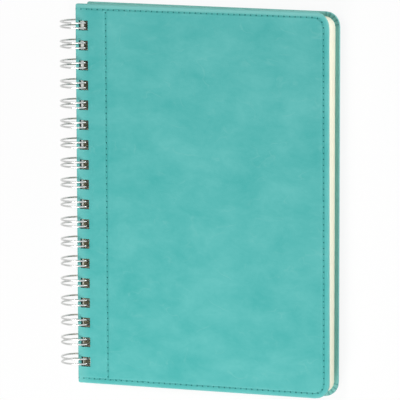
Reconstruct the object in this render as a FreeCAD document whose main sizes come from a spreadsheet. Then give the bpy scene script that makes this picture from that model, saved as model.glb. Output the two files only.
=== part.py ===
"""Spiral notebook: two stitched covers and a block of leaves on a twin-loop wire.

The notebook lies closed on its back cover. X runs from the wire to the fore-edge, Y runs up the
page and Z rises out of the front cover. The origin is under the middle, level with the lowest
point of the wire. The pieces are drawn from the spine edge, the bottom edge and the under face of
the back cover, and one common shift brings them to that origin. The front cover and the first
leaves hang on the wire slightly askew, and the sizes say by how much.
"""

import FreeCAD, Part
import Sketcher
import math
import os

doc = FreeCAD.newDocument("spiral_notebook")
sheet = doc.addObject("Spreadsheet::Sheet", "Sizes")

SIZES = [
    ("cover_width", 172.0, "cover from spine edge to fore-edge"),
    ("cover_height", 243.5, "cover from bottom edge to top edge"),
    ("cover_thickness", 2.3, "one finished cover"),
    ("cover_corner", 9.5, "radius of the cover's fore-edge corners"),
    ("spine_corner", 1.2, "radius of the cover's spine corners"),
    ("wrap_thickness", 0.4, "faux leather skin"),
    ("wrap_round", 0.9, "softened outer edge of the skin"),
    ("turn_in", 12.0, "width of the skin folded over the inner face"),
    ("lining_corner", 3.0, "corner radius of the lining panel"),
    ("block_thickness", 12.4, "all the leaves pressed together"),
    ("fore_inset", 2.6, "leaves behind the cover's fore-edge"),
    ("end_inset", 3.0, "leaves inside the cover's top and bottom edges"),
    ("leaf_corner", 7.0, "radius of the leaves' fore-edge corners"),
    ("turned_leaves", 0.3, "thickness of the first leaves, which lie askew"),
    ("leaf_turn", 0.65, "angle in degrees by which the first leaves lie askew"),
    ("leaf_slip", 0.4, "first leaves pushed toward the wire"),
    ("front_turn", 0.28, "angle in degrees by which the front cover lies askew"),
    ("front_slip", 1.2, "front cover pushed toward the wire"),
    ("spine_inset", 0.6, "leaves inside the cover's spine edge"),
    ("hole_size", 6.0, "side of a square punched hole"),
    ("hole_margin", 2.5, "strip between the spine edge and a hole"),
    ("hole_pitch", 12.7, "distance from hole to hole"),
    ("hole_count", 18, "punched holes"),
    ("wire_diameter", 1.2, "binding wire"),
    ("loop_facets", 20, "straight steps in one turn of the wire"),
    ("strand_gap", 3.2, "distance between the two strands in a hole"),
    ("root_bend", 1.2, "bend where a strand leaves the back of the wire comb"),
    ("near_clearance", 0.33, "wire to the hole's spine side, at the cover's outer face"),
    ("far_clearance", 0.2, "wire to the hole's far side, half way down the leaves"),
    ("seam_clearance", 0.3, "closed wire seam to the back cover and to the leaves"),
    ("tip_gap", 0.5, "gap between a loop's tip and the root of its own loop"),
    ("seam_inset", 3.25, "row of stitches inside the cover's edges"),
    ("seam_start", 4.0, "first stitch from the spine edge"),
    ("spine_seam", 21.0, "upright row of stitches from the spine edge"),
    ("channel_width", 0.9, "pressed channel that a row of stitches lies in"),
    ("channel_depth", 0.2, "depth of that channel"),
    ("stitch_pitch", 3.75, "needle hole to needle hole"),
    ("stitch_length", 3.0, "visible thread of one stitch"),
    ("thread_width", 0.6, "width of the thread"),
]
for row, (alias, value, meaning) in enumerate(SIZES, start=1):
    sheet.set(f"A{row}", meaning)
    sheet.set(f"B{row}", str(value))
    sheet.setAlias(f"B{row}", alias)
doc.recompute()


def size(alias):
    """Value of one cell of the sheet."""
    return float(sheet.get(alias))


WIRE_RADIUS = size("wire_diameter") / 2
THICKNESS = 2 * size("cover_thickness") + size("block_thickness")


def smallest_loop():
    """Radius and centre of the smallest loop that passes the straight holes.

    The loop clears the hole's far side half way down the leaves, and its inside clears the hole's
    spine side where it enters the outer face of a cover. Those two limits give one circle.
    """
    far_side = size("hole_margin") + size("hole_size") - size("far_clearance") - WIRE_RADIUS
    near_side = size("hole_margin") + size("near_clearance")
    reach = far_side - near_side
    half = THICKNESS / 2
    radius = (reach**2 + half**2 - WIRE_RADIUS**2) / (2 * (reach - WIRE_RADIUS))
    return radius, far_side - radius


LOOP_RADIUS, AXIS_X = smallest_loop()
AXIS_Z = THICKNESS / 2
WIRE_REACH = LOOP_RADIUS + WIRE_RADIUS - AXIS_X
AXIS_LEVEL = LOOP_RADIUS + WIRE_RADIUS
HOLE_COLUMN = size("hole_margin") + size("hole_size") / 2
FRONT_RISE = (size("cover_width") - size("cover_corner") - HOLE_COLUMN) * math.sin(
    math.radians(size("front_turn"))
)
FIRST_HOLE = (size("cover_height") - (size("hole_count") - 1) * size("hole_pitch")) / 2
SHIFT = FreeCAD.Vector(
    (WIRE_REACH - size("cover_width")) / 2,
    -(size("cover_height") + FRONT_RISE) / 2,
    AXIS_LEVEL - AXIS_Z,
)
PLACE = FreeCAD.Placement(SHIFT, FreeCAD.Rotation())

COVER_TOP = "Sizes.cover_thickness * 2 + Sizes.block_thickness"
COVER_INNER = "Sizes.cover_thickness + Sizes.block_thickness"
FIRST_HOLE_LOW = (
    "(Sizes.cover_height - (Sizes.hole_count - 1) * Sizes.hole_pitch - Sizes.hole_size) / 2"
)


def new_body(label):
    """Empty body at the common shift."""
    body = doc.addObject("PartDesign::Body", label)
    body.Label = label
    body.Placement = PLACE
    return body


def level_sketch(body, name, level):
    """Sketch parallel to the covers, its height bound to an expression."""
    sketch = body.newObject("Sketcher::SketchObject", name)
    plane = next(item for item in body.Origin.OriginFeatures if item.Role == "XY_Plane")
    sketch.AttachmentSupport = (plane, [""])
    sketch.MapMode = "FlatFace"
    sketch.setExpression("AttachmentOffset.Base.z", level)
    return sketch


def bind(sketch, constraint, expression):
    """Adds a measured constraint and binds its value to the sheet."""
    index = sketch.addConstraint(constraint)
    sketch.setExpression(f"Constraints[{index}]", expression)


def rectangle(sketch, left, right, low, high):
    """Upright rectangle whose four sides are bound to expressions."""
    corners = [FreeCAD.Vector(x, y, 0) for x, y in ((1, 1), (3, 1), (3, 4), (1, 4))]
    sides = []
    for number in range(4):
        line = Part.LineSegment(corners[number], corners[(number + 1) % 4])
        sides.append(sketch.addGeometry(line, False))
    for number in range(4):
        following = sides[(number + 1) % 4]
        sketch.addConstraint(Sketcher.Constraint("Coincident", sides[number], 2, following, 1))
        kind = "Horizontal" if number % 2 == 0 else "Vertical"
        sketch.addConstraint(Sketcher.Constraint(kind, sides[number]))
    bind(sketch, Sketcher.Constraint("DistanceX", -1, 1, sides[0], 1, 1.0), left)
    bind(sketch, Sketcher.Constraint("DistanceX", -1, 1, sides[1], 1, 3.0), right)
    bind(sketch, Sketcher.Constraint("DistanceY", -1, 1, sides[0], 1, 1.0), low)
    bind(sketch, Sketcher.Constraint("DistanceY", -1, 1, sides[2], 1, 4.0), high)


def padded_plate(body, left, right, low, high, level, thickness):
    """Plain plate: a rectangle padded upward."""
    sketch = level_sketch(body, f"{body.Name}_outline", level)
    rectangle(sketch, left, right, low, high)
    pad = body.newObject("PartDesign::Pad", f"{body.Name}_plate")
    pad.Profile = sketch
    pad.setExpression("Length", thickness)
    doc.recompute()
    return pad


def fillet(body, base, name, wanted, radius):
    """Rounds the edges of the last feature that a test picks."""
    names = []
    for number, edge in enumerate(base.Shape.Edges, start=1):
        if wanted(edge):
            names.append(f"Edge{number}")
    feature = body.newObject("PartDesign::Fillet", name)
    feature.Base = (base, names)
    feature.setExpression("Radius", radius)
    doc.recompute()
    return feature


def is_upright(edge):
    """True for an edge that runs along Z."""
    ends = edge.Vertexes
    return len(ends) == 2 and abs(ends[0].Z - ends[1].Z) > math.hypot(
        ends[0].X - ends[1].X, ends[0].Y - ends[1].Y
    )


def round_corners(body, base, fore_radius, spine_radius=None):
    """Rounds the two fore-edge corners, and the two spine corners where a radius is given."""
    middle = base.Shape.BoundBox.Center.x
    rounded = fillet(
        body,
        base,
        f"{body.Name}_fore_corners",
        lambda edge: is_upright(edge) and edge.CenterOfMass.x > middle,
        fore_radius,
    )
    if spine_radius:
        rounded = fillet(
            body,
            rounded,
            f"{body.Name}_spine_corners",
            lambda edge: is_upright(edge) and edge.CenterOfMass.x < middle - size("cover_width") / 4,
            spine_radius,
        )
    return rounded


def cut(body, sketch, name, depth):
    """Pockets a sketch downward and makes sure that material went away."""
    before = body.Shape.Volume
    pocket = body.newObject("PartDesign::Pocket", name)
    pocket.Profile = sketch
    pocket.setExpression("Length", depth)
    doc.recompute()
    if body.Shape.Volume >= before:
        raise RuntimeError(f"{name} cut nothing")
    return pocket


def punch_holes(body, level, depth):
    """Row of square holes along the spine, punched down from a level."""
    sketch = level_sketch(body, f"{body.Name}_hole", level)
    rectangle(
        sketch,
        "Sizes.hole_margin",
        "Sizes.hole_margin + Sizes.hole_size",
        FIRST_HOLE_LOW,
        f"{FIRST_HOLE_LOW} + Sizes.hole_size",
    )
    pocket = cut(body, sketch, f"{body.Name}_first_hole", depth)
    pattern = body.newObject("PartDesign::LinearPattern", f"{body.Name}_holes")
    pattern.Originals = [pocket]
    pattern.Direction = (sketch, ["V_Axis"])
    pattern.setExpression("Length", "(Sizes.hole_count - 1) * Sizes.hole_pitch")
    pattern.setExpression("Occurrences", "Sizes.hole_count")
    body.Tip = pattern
    doc.recompute()
    return pattern


def cover_outline(body, inset, level, thickness):
    """Plate with the cover's outline, set in by an expression on every side."""
    return padded_plate(
        body,
        inset,
        f"Sizes.cover_width - {inset}",
        inset,
        f"Sizes.cover_height - {inset}",
        level,
        thickness,
    )


def make_board():
    """Stiff board inside a cover, drawn where the front one would lie straight."""
    body = new_body("cover_board")
    plate = cover_outline(
        body,
        "Sizes.wrap_thickness",
        f"{COVER_INNER} + Sizes.wrap_thickness",
        "Sizes.cover_thickness - 2 * Sizes.wrap_thickness",
    )
    round_corners(
        body,
        plate,
        "Sizes.cover_corner - Sizes.wrap_thickness",
        "Sizes.spine_corner - Sizes.wrap_thickness",
    )
    punch_holes(body, COVER_TOP, "Sizes.cover_thickness")
    return body


def make_lining():
    """Lining panel on the inner face, between the turned-in edges of the skin."""
    body = new_body("cover_lining")
    plate = cover_outline(body, "Sizes.turn_in", COVER_INNER, "Sizes.wrap_thickness")
    fillet(body, plate, "cover_lining_corners", is_upright, "Sizes.lining_corner")
    return body


def seam_outline(sketch, inset, left):
    """Outline beside the seam: straight on the spine side, round at the two fore-edge corners."""
    radius = size("cover_corner") - 1
    x_left, x_right = 20.0, size("cover_width") - 4
    y_low, y_high = 4.0, size("cover_height") - 4
    centre_low = FreeCAD.Vector(x_right - radius, y_low + radius, 0)
    centre_high = FreeCAD.Vector(x_right - radius, y_high - radius, 0)
    normal = FreeCAD.Vector(0, 0, 1)

    def line(x1, y1, x2, y2):
        segment = Part.LineSegment(FreeCAD.Vector(x1, y1, 0), FreeCAD.Vector(x2, y2, 0))
        return sketch.addGeometry(segment, False)

    def quarter(centre, start):
        circle = Part.Circle(centre, normal, radius)
        return sketch.addGeometry(Part.ArcOfCircle(circle, start, start + math.pi / 2), False)

    low = line(x_left, y_low, x_right - radius, y_low)
    low_corner = quarter(centre_low, -math.pi / 2)
    fore = line(x_right, y_low + radius, x_right, y_high - radius)
    high_corner = quarter(centre_high, 0.0)
    high = line(x_right - radius, y_high, x_left, y_high)
    spine = line(x_left, y_high, x_left, y_low)
    chain = [low, low_corner, fore, high_corner, high]
    for first, second in zip(chain, chain[1:]):
        sketch.addConstraint(Sketcher.Constraint("Tangent", first, 2, second, 1))
    sketch.addConstraint(Sketcher.Constraint("Coincident", high, 2, spine, 1))
    sketch.addConstraint(Sketcher.Constraint("Coincident", spine, 2, low, 1))
    sketch.addConstraint(Sketcher.Constraint("Horizontal", low))
    sketch.addConstraint(Sketcher.Constraint("Horizontal", high))
    sketch.addConstraint(Sketcher.Constraint("Vertical", fore))
    sketch.addConstraint(Sketcher.Constraint("Vertical", spine))
    bind(sketch, Sketcher.Constraint("Radius", low_corner, radius), f"Sizes.cover_corner - {inset}")
    bind(sketch, Sketcher.Constraint("Radius", high_corner, radius), f"Sizes.cover_corner - {inset}")
    bind(sketch, Sketcher.Constraint("DistanceX", -1, 1, low, 1, x_left), left)
    bind(
        sketch,
        Sketcher.Constraint("DistanceX", -1, 1, fore, 1, x_right),
        f"Sizes.cover_width - {inset}",
    )
    bind(sketch, Sketcher.Constraint("DistanceY", -1, 1, low, 1, y_low), inset)
    bind(
        sketch,
        Sketcher.Constraint("DistanceY", -1, 1, high, 2, y_high),
        f"Sizes.cover_height - {inset}",
    )


def press_channels(body):
    """Shallow channels for the stitches: a loop round the panel and two arms to the spine."""
    half = "Sizes.channel_width / 2"
    loop = level_sketch(body, "channel_loop", COVER_TOP)
    seam_outline(loop, f"(Sizes.seam_inset - {half})", f"Sizes.spine_seam - {half}")
    seam_outline(loop, f"(Sizes.seam_inset + {half})", f"Sizes.spine_seam + {half}")
    cut(body, loop, "channel_round_panel", "Sizes.channel_depth")
    arms = level_sketch(body, "channel_arms", COVER_TOP)
    for edge in ("Sizes.seam_inset", "(Sizes.cover_height - Sizes.seam_inset)"):
        rectangle(
            arms,
            f"Sizes.seam_start - {half}",
            f"Sizes.spine_seam - {half}",
            f"{edge} - {half}",
            f"{edge} + {half}",
        )
    return cut(body, arms, "channel_to_spine", "Sizes.channel_depth")


def make_wrap(board, lining):
    """Faux leather skin: the cover's whole outer form less the board and the lining."""
    body = new_body("cover_form")
    plate = cover_outline(body, "0 * Sizes.wrap_thickness", COVER_INNER, "Sizes.cover_thickness")
    rounded = round_corners(body, plate, "Sizes.cover_corner", "Sizes.spine_corner")
    top = rounded.Shape.BoundBox.ZMax
    fillet(
        body,
        rounded,
        "cover_form_edge",
        lambda edge: edge.BoundBox.ZMin > top - size("wrap_thickness") / 4,
        "Sizes.wrap_round",
    )
    press_channels(body)
    punch_holes(body, COVER_TOP, "Sizes.cover_thickness")
    hollow = doc.addObject("Part::Cut", "cover_wrap_over_board")
    hollow.Base = body
    hollow.Tool = board
    wrap = doc.addObject("Part::Cut", "cover_wrap")
    wrap.Label = "cover_wrap"
    wrap.Base = hollow
    wrap.Tool = lining
    doc.recompute()
    return wrap


def seam_paths():
    """Centre lines of the stitch rows: one round three edges and one upright near the spine."""
    inset = size("seam_inset")
    level = THICKNESS - size("channel_depth")
    radius = size("cover_corner") - inset
    low, high = inset, size("cover_height") - inset
    start, far = size("seam_start"), size("cover_width") - inset
    diagonal = radius * math.sqrt(0.5)

    def point(x, y):
        return FreeCAD.Vector(x, y, level)

    edges = [
        Part.LineSegment(point(start, high), point(far - radius, high)),
        Part.Arc(
            point(far - radius, high),
            point(far - radius + diagonal, high - radius + diagonal),
            point(far, high - radius),
        ),
        Part.LineSegment(point(far, high - radius), point(far, low + radius)),
        Part.Arc(
            point(far, low + radius),
            point(far - radius + diagonal, low + radius - diagonal),
            point(far - radius, low),
        ),
        Part.LineSegment(point(far - radius, low), point(start, low)),
    ]
    border = Part.Wire([edge.toShape() for edge in edges])
    clear = size("stitch_pitch") / 2
    spine = size("spine_seam")
    upright = Part.LineSegment(point(spine, low + clear), point(spine, high - clear)).toShape()
    return [border, Part.Wire([upright])]


def make_stitching():
    """Thread lying in the channels, one short flat solid for each stitch."""
    stitches = []
    for path in seam_paths():
        count = round(path.Length / size("stitch_pitch"))
        points = path.discretize(Number=2 * count + 1)
        for number in range(count):
            before, middle, after = points[2 * number:2 * number + 3]
            along = after - before
            stitch = Part.makeBox(
                size("stitch_length"),
                size("thread_width"),
                size("channel_depth"),
                FreeCAD.Vector(-size("stitch_length") / 2, -size("thread_width") / 2, 0),
            )
            turn = FreeCAD.Rotation(FreeCAD.Vector(0, 0, 1), math.degrees(math.atan2(along.y, along.x)))
            stitch.Placement = FreeCAD.Placement(middle, turn)
            stitches.append(stitch)
    stitching = doc.addObject("Part::Feature", "cover_stitching")
    stitching.Label = "cover_stitching"
    stitching.Shape = Part.makeCompound(stitches)
    stitching.Placement = PLACE
    return stitching


def leaf_plate(label, level, thickness):
    """Pressed leaves: one plate with round fore-edge corners."""
    body = new_body(label)
    plate = padded_plate(
        body,
        "Sizes.spine_inset",
        "Sizes.cover_width - Sizes.fore_inset",
        "Sizes.end_inset",
        "Sizes.cover_height - Sizes.end_inset",
        level,
        thickness,
    )
    round_corners(body, plate, "Sizes.leaf_corner")
    return body


def slid_and_turned(slip, degrees):
    """Motion toward the wire and about the middle of the row of holes."""
    pivot = FreeCAD.Vector(HOLE_COLUMN, size("cover_height") / 2, 0)
    turn = FreeCAD.Rotation(FreeCAD.Vector(0, 0, 1), degrees)
    return FreeCAD.Placement(FreeCAD.Vector(-slip, 0, 0), turn, pivot)


def make_page_block():
    """All the leaves as one solid, with the first few lying slightly askew on the rest.

    The last leaves stop short of the back cover along the punched margin, where the closed seam of
    the wire lies.
    """
    rest = leaf_plate(
        "straight_leaves",
        "Sizes.cover_thickness",
        "Sizes.block_thickness - Sizes.turned_leaves",
    )
    relief_depth = "Sizes.wire_diameter + 2 * Sizes.seam_clearance"
    relief = level_sketch(rest, "seam_relief_outline", f"Sizes.cover_thickness + {relief_depth}")
    rectangle(
        relief,
        "0 * Sizes.hole_margin",
        "Sizes.hole_margin + Sizes.hole_size",
        FIRST_HOLE_LOW,
        f"Sizes.cover_height - {FIRST_HOLE_LOW}",
    )
    cut(rest, relief, "seam_relief", relief_depth)
    punch_holes(rest, COVER_INNER, "Sizes.block_thickness")
    askew = leaf_plate("first_leaves", f"{COVER_INNER} - Sizes.turned_leaves", "Sizes.turned_leaves")
    punch_holes(askew, COVER_INNER, "Sizes.turned_leaves")
    askew.Placement = PLACE.multiply(slid_and_turned(size("leaf_slip"), -size("leaf_turn")))
    block = doc.addObject("Part::Fuse", "page_block")
    block.Label = "page_block"
    block.Base = rest
    block.Tool = askew
    doc.recompute()
    return block


ACROSS = FreeCAD.Vector(0, 1, 0)


def outward(angle):
    """Unit vector from the loop's axis, at an angle from +X toward +Z."""
    return FreeCAD.Vector(math.cos(angle), 0, math.sin(angle))


def onward(angle):
    """Unit vector along the loop, toward falling angles."""
    return FreeCAD.Vector(math.sin(angle), 0, -math.cos(angle))


def seam_angles():
    """Angles of the strands' roots and of the loops' tips.

    The straight backs of the comb lie in the relief of the leaves, just above the back cover. A
    root bend leads from there into each strand.
    """
    back_height = WIRE_RADIUS + size("seam_clearance") - size("block_thickness") / 2
    back_radius = math.hypot(LOOP_RADIUS, size("root_bend"))
    root = math.asin(back_height / back_radius) - math.atan2(size("root_bend"), LOOP_RADIUS)
    seam = size("strand_gap") / 2 + size("tip_gap") + size("root_bend") + 2 * WIRE_RADIUS
    return root, root + seam / LOOP_RADIUS


def turning(centre, spoke, axis, degrees, steps):
    """Arm and axis of a bend: points swept about an axis, each with its tangent."""
    places = []
    for number in range(steps + 1):
        turn = FreeCAD.Rotation(axis, degrees * number / steps)
        arm = turn.multVec(spoke)
        places.append((centre + arm, axis.cross(arm).normalize()))
    return places


def hairpin(row_y, first, last):
    """Path of one hairpin of wire, as places with a tangent and the way that is outward there.

    It runs in from the comb's back by a root bend, once round the loop, round the tip, back round
    the loop, and out by the other root bend. The ends of the wire have no root bend.
    """
    root, tip = seam_angles()
    sweep = 360 - math.degrees(tip - root)
    middle = FreeCAD.Vector(AXIS_X, row_y, AXIS_Z)
    half_gap = ACROSS * (size("strand_gap") / 2)
    bend = size("root_bend")
    start = outward(root) * LOOP_RADIUS
    steps = int(size("loop_facets"))
    route = []
    if not first:
        bend_centre = middle + half_gap + start + ACROSS * bend
        places = turning(bend_centre, onward(root) * -bend, outward(root), 90, 2)
        route += [(place, way, outward(root)) for place, way in places]
    for place, way in turning(middle + half_gap, start, ACROSS, sweep, steps):
        route.append((place, way, (place - middle - half_gap).normalize()))
    tip_centre = middle + outward(tip) * LOOP_RADIUS
    places = turning(tip_centre, half_gap, outward(tip) * -1, 180, 4)
    route += [(place, way, outward(tip)) for place, way in places]
    end = outward(tip) * LOOP_RADIUS
    for place, way in turning(middle - half_gap, end, ACROSS * -1, sweep, steps):
        route.append((place, way, (place - middle + half_gap).normalize()))
    if not last:
        bend_centre = middle - half_gap + start - ACROSS * bend
        places = turning(bend_centre, ACROSS * bend, outward(root), 90, 2)
        route += [(place, way, outward(root)) for place, way in places]
    return route


def ring_of(place, way, out):
    """Corners of the wire's six-sided section, square to the way it runs."""
    beside = way.cross(out)
    corners = []
    for number in range(6):
        angle = number * math.pi / 3
        corners.append(place + (out * math.cos(angle) + beside * math.sin(angle)) * WIRE_RADIUS)
    return corners


def flat_face(corners):
    """Flat face between corners."""
    return Part.Face(Part.makePolygon(corners + corners[:1]))


def make_wire():
    """The whole binding: one continuous wire bent into a hairpin for each hole.

    The wire is a six-sided tube of flat faces, few enough for all its turns to stay light.
    """
    count = int(size("hole_count"))
    route = []
    for number in range(count):
        row_y = FIRST_HOLE + (count - 1 - number) * size("hole_pitch")
        for step in hairpin(row_y, number == 0, number == count - 1):
            if not route or (step[0] - route[-1][0]).Length > WIRE_RADIUS / 100:
                route.append(step)
    rings = [ring_of(*step) for step in route]
    faces = [flat_face(rings[0]), flat_face(rings[-1])]
    for ring, following in zip(rings, rings[1:]):
        for number in range(6):
            after = (number + 1) % 6
            faces.append(flat_face([ring[number], following[number], following[after], ring[after]]))
    shell = Part.makeCompound(faces)
    shell.sewShape()
    binding = doc.addObject("Part::Feature", "wire_binding")
    binding.Label = "wire_binding"
    binding.Shape = Part.Solid(shell.Shells[0])
    if binding.Shape.Volume < 0:
        binding.Shape = binding.Shape.reversed()
    binding.Placement = PLACE
    print(f"wire: {len(route)} sections, {len(faces)} faces, {len(binding.Shape.Shells)} shell")
    return binding


def laid_over(source, label):
    """The same piece of the front cover, which hangs on the wire slightly askew."""
    askew = PLACE.multiply(slid_and_turned(size("front_slip"), size("front_turn")))
    shape = source.Shape.copy()
    shape.Placement = askew.multiply(PLACE.inverse()).multiply(shape.Placement)
    piece = doc.addObject("Part::Feature", label)
    piece.Label = label
    piece.Shape = shape
    return piece


def mirrored_under(source, label):
    """The same piece of the back cover: mirrored in the middle of the notebook, and straight."""
    mirror = doc.addObject("Part::Mirroring", label)
    mirror.Label = label
    mirror.Source = source
    mirror.Base = FreeCAD.Vector(0, 0, AXIS_LEVEL)
    mirror.Normal = FreeCAD.Vector(0, 0, 1)
    return mirror


board = make_board()
lining = make_lining()
cover_pieces = [board, lining, make_wrap(board, lining), make_stitching()]
sub_parts = [laid_over(piece, piece.Label.replace("cover", "front")) for piece in cover_pieces]
sub_parts += [mirrored_under(piece, piece.Label.replace("cover", "back")) for piece in cover_pieces]
sub_parts += [make_page_block(), make_wire()]
doc.recompute()

for item in doc.Objects:
    if "Invalid" in item.State or "Error" in item.State:
        raise RuntimeError(f"{item.Label} failed: {item.State}")
os.makedirs("parts", exist_ok=True)
for piece in sub_parts:
    shape = piece.Shape
    if shape.isNull() or not shape.isValid():
        raise RuntimeError(f"{piece.Label} has no valid shape")
    shape.exportStep(f"parts/{piece.Label}.step")
    box = shape.BoundBox
    print(
        f"{piece.Label}: {len(shape.Solids)} solid(s), {shape.Volume / 1000:.2f} cm3, "
        f"x {box.XMin:.2f} to {box.XMax:.2f}, y {box.YMin:.2f} to {box.YMax:.2f}, "
        f"z {box.ZMin:.2f} to {box.ZMax:.2f}"
    )
print(f"loop radius {LOOP_RADIUS:.3f}, axis at x {AXIS_X + SHIFT.x:.3f}, z {AXIS_LEVEL:.3f}")
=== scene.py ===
# %% [markdown]
# A wire-bound notebook with stitched faux leather covers lies closed on a white table.
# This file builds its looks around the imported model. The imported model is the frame: it is already
# at its real size, and nothing here moves it. Blender works in metres, so sizes below are written
# in millimetres and multiplied by MM.

# %% Load the frame
import math

import bmesh
import bpy
import numpy as np
from mathutils import Matrix, Vector


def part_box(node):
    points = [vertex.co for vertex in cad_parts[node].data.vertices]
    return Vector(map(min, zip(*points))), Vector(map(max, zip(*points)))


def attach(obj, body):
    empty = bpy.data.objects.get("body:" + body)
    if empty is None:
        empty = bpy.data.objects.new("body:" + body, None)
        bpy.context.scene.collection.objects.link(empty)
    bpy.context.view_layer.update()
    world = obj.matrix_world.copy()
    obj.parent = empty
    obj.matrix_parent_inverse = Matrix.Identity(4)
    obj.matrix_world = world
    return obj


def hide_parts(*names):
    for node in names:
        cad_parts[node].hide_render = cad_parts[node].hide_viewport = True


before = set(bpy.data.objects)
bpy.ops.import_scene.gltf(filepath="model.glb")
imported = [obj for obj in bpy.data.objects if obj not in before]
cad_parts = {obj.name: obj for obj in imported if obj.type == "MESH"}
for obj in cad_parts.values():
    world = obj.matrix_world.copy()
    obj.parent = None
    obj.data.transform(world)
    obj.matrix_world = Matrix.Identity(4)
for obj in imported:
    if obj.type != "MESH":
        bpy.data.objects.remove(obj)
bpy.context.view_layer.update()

MM = 0.001
TINY = 1e-9
print("pieces in the frame:", ", ".join(sorted(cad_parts)))

# %% [markdown]
# Every size that the looks need comes from the frame where it can. The back cover lies straight, so
# its box gives the outline of both covers. The front cover hangs on the wire a little askew, as
# real ones do, and two named values say how much. What a box can't say, such as the hole pitch,
# is a named value here too, and the same one that the real binding machine uses.

# %% Sizes
cover_low, cover_high = (np.array(corner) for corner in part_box("back_wrap"))
board_low, board_high = (np.array(corner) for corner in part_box("back_board"))
lining_low, lining_high = (np.array(corner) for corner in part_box("back_lining"))
front_low, front_high = (np.array(corner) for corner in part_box("front_wrap"))

SPINE_X = cover_low[0]
BOTTOM_Y = cover_low[1]
WIDTH = cover_high[0] - cover_low[0]
HEIGHT = cover_high[1] - cover_low[1]
COVER_TOP = front_high[2]
COVER_INNER = front_low[2]
MIDDLE_Z = (cover_low[2] + COVER_TOP) / 2
SKIN = board_low[0] - cover_low[0]
TURN_IN = lining_low[0] - cover_low[0]

CORNER = 9.5 * MM
SPINE_CORNER = 1.2 * MM
LINING_CORNER = 3.0 * MM
EDGE_ROUND = 0.9 * MM
INNER_ROUND = 0.3 * MM

HOLE_COUNT = 18
HOLE_PITCH = 12.7 * MM
HOLE_SIZE = 6.0 * MM
HOLE_MARGIN = 2.5 * MM
FIRST_HOLE = (HEIGHT - (HOLE_COUNT - 1) * HOLE_PITCH) / 2
HOLE_LOWS = FIRST_HOLE + np.arange(HOLE_COUNT) * HOLE_PITCH - HOLE_SIZE / 2

SEAM_INSET = 3.25 * MM
SEAM_START = 4.0 * MM
SPINE_SEAM = 21.0 * MM
STITCH_PITCH = 3.75 * MM

HOLE_COLUMN = SPINE_X + HOLE_MARGIN + HOLE_SIZE / 2
MIDDLE_Y = BOTTOM_Y + HEIGHT / 2
FRONT_SLIP = 1.2 * MM
FRONT_TURN = math.radians(0.28)


def slid_and_turned(points, slip, angle):
    """Points moved toward the wire by a slip and turned about the middle of the row of holes."""
    pivot = np.array([HOLE_COLUMN, MIDDLE_Y])
    cosine, sine = math.cos(angle), math.sin(angle)
    moved = np.array(points, float)
    moved[..., :2] = (moved[..., :2] - pivot) @ np.array([[cosine, sine], [-sine, cosine]]) + pivot
    moved[..., 0] -= slip
    return moved


print(f"cover {WIDTH / MM:.1f} by {HEIGHT / MM:.1f} mm, skin {SKIN / MM:.2f} mm")

# %% [markdown]
# The photograph looks down on the cover with a long lens, a little from the right and from above.
# A long lens far away keeps the edges almost parallel. The camera's turn is written as the way it
# looks and the way that is up in the picture, because those two can be read off the photograph.

# %% Camera
LENS = 450.0
SENSOR = 36.0
CAMERA_PLACE = Vector((1.2103, 0.4360, 2.8984))
LOOKS_ALONG = Vector((-0.3824, -0.1383, -0.9136)).normalized()
UP_IN_PICTURE = Vector((-0.0532, 0.9904, -0.1276)).normalized()


def make_camera():
    """Camera whose axes are: right = along x up, up, and backward = the opposite of along."""
    data = bpy.data.cameras.new("camera")
    data.lens = LENS
    data.sensor_width = SENSOR
    camera = bpy.data.objects.new("camera", data)
    right = LOOKS_ALONG.cross(UP_IN_PICTURE).normalized()
    up = right.cross(LOOKS_ALONG)
    turn = Matrix((right, up, -LOOKS_ALONG)).transposed()
    camera.matrix_world = Matrix.Translation(CAMERA_PLACE) @ turn.to_4x4()
    bpy.context.scene.collection.objects.link(camera)
    bpy.context.scene.camera = camera
    return camera


camera = make_camera()
bpy.context.scene.view_settings.view_transform = "Standard"
print("camera at", [round(value, 3) for value in camera.matrix_world.translation])

# %% [markdown]
# A material is a tree of nodes. Written out one by one, nodes hide what a finish does. So a few
# helpers place a node and feed its sockets in one line, and a socket takes either another node's
# output or a plain number or colour. Colours are written as they look on a screen.

# %% Helpers for nodes
def new_material(name):
    """Material with an empty tree of nodes, and that tree."""
    material = bpy.data.materials.new(name)
    material.use_nodes = True
    material.node_tree.nodes.clear()
    return material, material.node_tree


def add_node(tree, kind, inputs=None, **settings):
    """One node. Settings are its own properties, and inputs go to its sockets by name or number."""
    node = tree.nodes.new(kind)
    for name, value in settings.items():
        setattr(node, name, value)
    for name, value in (inputs or {}).items():
        if isinstance(value, bpy.types.NodeSocket):
            tree.links.new(value, node.inputs[name])
        else:
            node.inputs[name].default_value = value
    return node


def math_node(tree, operation, *values, clamp=False):
    """Output of a Math node whose inputs are sockets or numbers."""
    inputs = dict(enumerate(values))
    return add_node(tree, "ShaderNodeMath", inputs, operation=operation, use_clamp=clamp).outputs[0]


def mix_color(tree, factor, first, second):
    """Colour between two, each a socket or a written colour, by a factor from 0 to 1."""
    inputs = {0: factor, 6: first, 7: second}
    return add_node(tree, "ShaderNodeMix", inputs, data_type="RGBA").outputs[2]


def noise(tree, place, size, **inputs):
    """Noise texture at a place, with its size in cycles per metre."""
    return add_node(tree, "ShaderNodeTexNoise", {"Vector": place, "Scale": size, **inputs}).outputs[0]


def place_on_piece(tree):
    """Object coordinates: metres from the origin, which stay on a piece when its body moves."""
    return add_node(tree, "ShaderNodeTexCoord").outputs["Object"]


def stored_vector(tree, name):
    """An attribute that is stored on the mesh."""
    return add_node(tree, "ShaderNodeAttribute", attribute_name=name).outputs["Vector"]


def parts_of(tree, vector):
    """The three numbers of a vector."""
    return add_node(tree, "ShaderNodeSeparateXYZ", {0: vector}).outputs


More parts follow.
